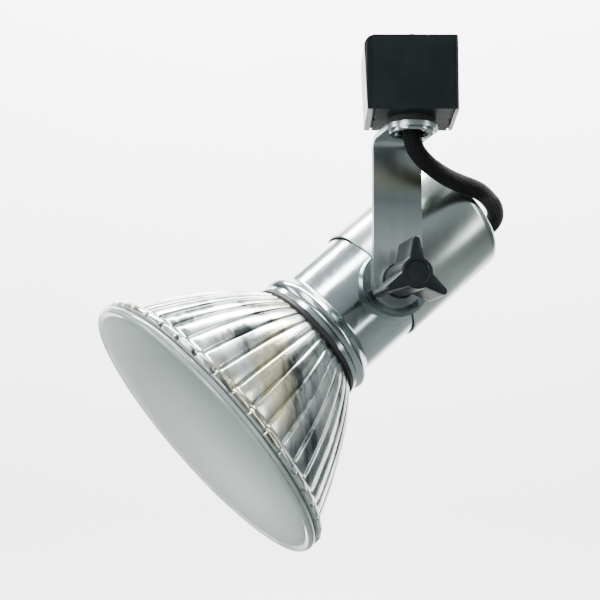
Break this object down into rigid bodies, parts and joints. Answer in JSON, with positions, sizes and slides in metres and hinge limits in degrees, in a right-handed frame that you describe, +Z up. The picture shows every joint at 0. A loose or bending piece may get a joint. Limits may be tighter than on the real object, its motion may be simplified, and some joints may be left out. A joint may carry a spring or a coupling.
{
  "type": "track spotlight",
  "caption": "Track light head: a black track adapter, a swivelling steel strap bracket and a tilting metal housing with a ribbed reflector lamp, locked by a lobed knob.",
  "frame": {"origin": "middle of the adapter's top seat face, on the stem axis", "axes": "+Z up, out of the seat into the track; the track runs along X; the bracket and housing stand swivelled 15.5 degrees about +Z and the housing is tilted 41.4 degrees below horizontal"},
  "size_m": [0.1646, 0.1211, 0.1965],
  "materials": {
    "adapter_plastic": "glossy black",
    "end_plate_plastic": "glossy black",
    "brass": "bright",
    "wire_black": "smooth",
    "wire_white": "smooth",
    "plated_steel": "bright plated",
    "fibre_black": "matt",
    "satin_steel": "satin, cool grey",
    "lead_sleeve": "woven black sleeve",
    "polished_chrome": "polished along the tube",
    "satin_sleeve": "satin, grey-green",
    "porcelain": "glazed",
    "knob_plastic": "moulded black, slight sheen",
    "gasket_rubber": "matt",
    "reflector_glass": "aluminised ribbed glass",
    "lens_glass": "frosted, clear at the rim",
    "base_metal": "plated",
    "base_insulator": "black glass",
    "solder": "dull",
    "quartz": "clear"
  },
  "bodies": {
    "adapter": {"adapter_housing": "adapter_plastic", "adapter_cover": "adapter_plastic", "adapter_end_plate_left": "end_plate_plastic", "adapter_end_plate_right": "end_plate_plastic", "contact_live": "brass", "contact_neutral": "brass", "contact_earth": "brass", "supply_wires": "wire_black", "cover_screws": "plated_steel", "stem": "plated_steel", "stem_locknut": "plated_steel", "swivel_washer": "fibre_black"},
    "bracket": {"bracket": "satin_steel", "lead": "lead_sleeve"},
    "head": {"front_tube": "polished_chrome", "rear_sleeve": "satin_sleeve", "pivot_saddle": "polished_chrome", "pivot_bolt": "plated_steel", "backing_plate": "plated_steel", "rear_bushing": "fibre_black", "lampholder_body": "porcelain", "lampholder_shell": "brass", "lampholder_contact": "brass", "lampholder_plate": "plated_steel", "lampholder_screws": "plated_steel", "terminal_screws": "brass", "wire_live": "wire_black", "wire_neutral": "wire_white"},
    "knob_washer": {"knob_washer": "plated_steel"},
    "knob": {"knob": "knob_plastic", "knob_insert": "brass", "knob_cap": "knob_plastic"},
    "gasket": {"collar_gasket": "gasket_rubber"},
    "lamp": {"lamp_reflector": "reflector_glass", "lamp_lens": "lens_glass", "lamp_base": "base_metal", "lamp_base_insulator": "base_insulator", "lamp_base_contact": "solder", "lamp_burner": "quartz", "burner_leads": "plated_steel"}
  },
  "joints": [
    {"name": "swivel", "type": "hinge", "parent": "adapter", "child": "bracket", "pos_m": [0, 0, -0.0325], "axis": [0, 0, 1], "range_deg": [-175, 175]},
    {"name": "tilt", "type": "hinge", "parent": "bracket", "child": "head", "pos_m": [-0.00481, 0.01734, -0.0893], "axis": [0.2672, -0.9636, 0], "range_deg": [-41.4, 48.6], "deforming": ["lead"]},
    {"name": "knob_lift", "type": "slide", "parent": "head", "child": "knob_washer", "axis": [0.2672, -0.9636, 0], "range_m": [0, 0.002]},
    {"name": "knob_turn", "type": "hinge", "parent": "knob_washer", "child": "knob", "pos_m": [-0.00454, 0.01638, -0.0893], "axis": [0.2672, -0.9636, 0], "range_deg": [0, 720]},
    {"name": "lamp_travel", "type": "slide", "parent": "head", "child": "gasket", "axis": [-0.7228, -0.2005, -0.6613], "range_m": [0, 0.01089]},
    {"name": "lamp_turn", "type": "hinge", "parent": "gasket", "child": "lamp", "pos_m": [-0.01255, 0.04633, -0.08464], "axis": [-0.7228, -0.2005, -0.6613], "range_deg": [0, 1080]}
  ],
  "couplings": [
    {"joint": "knob_lift", "follows": "knob_turn", "m_per_rad": 0.00015915},
    {"joint": "lamp_travel", "follows": "lamp_turn", "m_per_rad": 0.0005775}
  ]
}
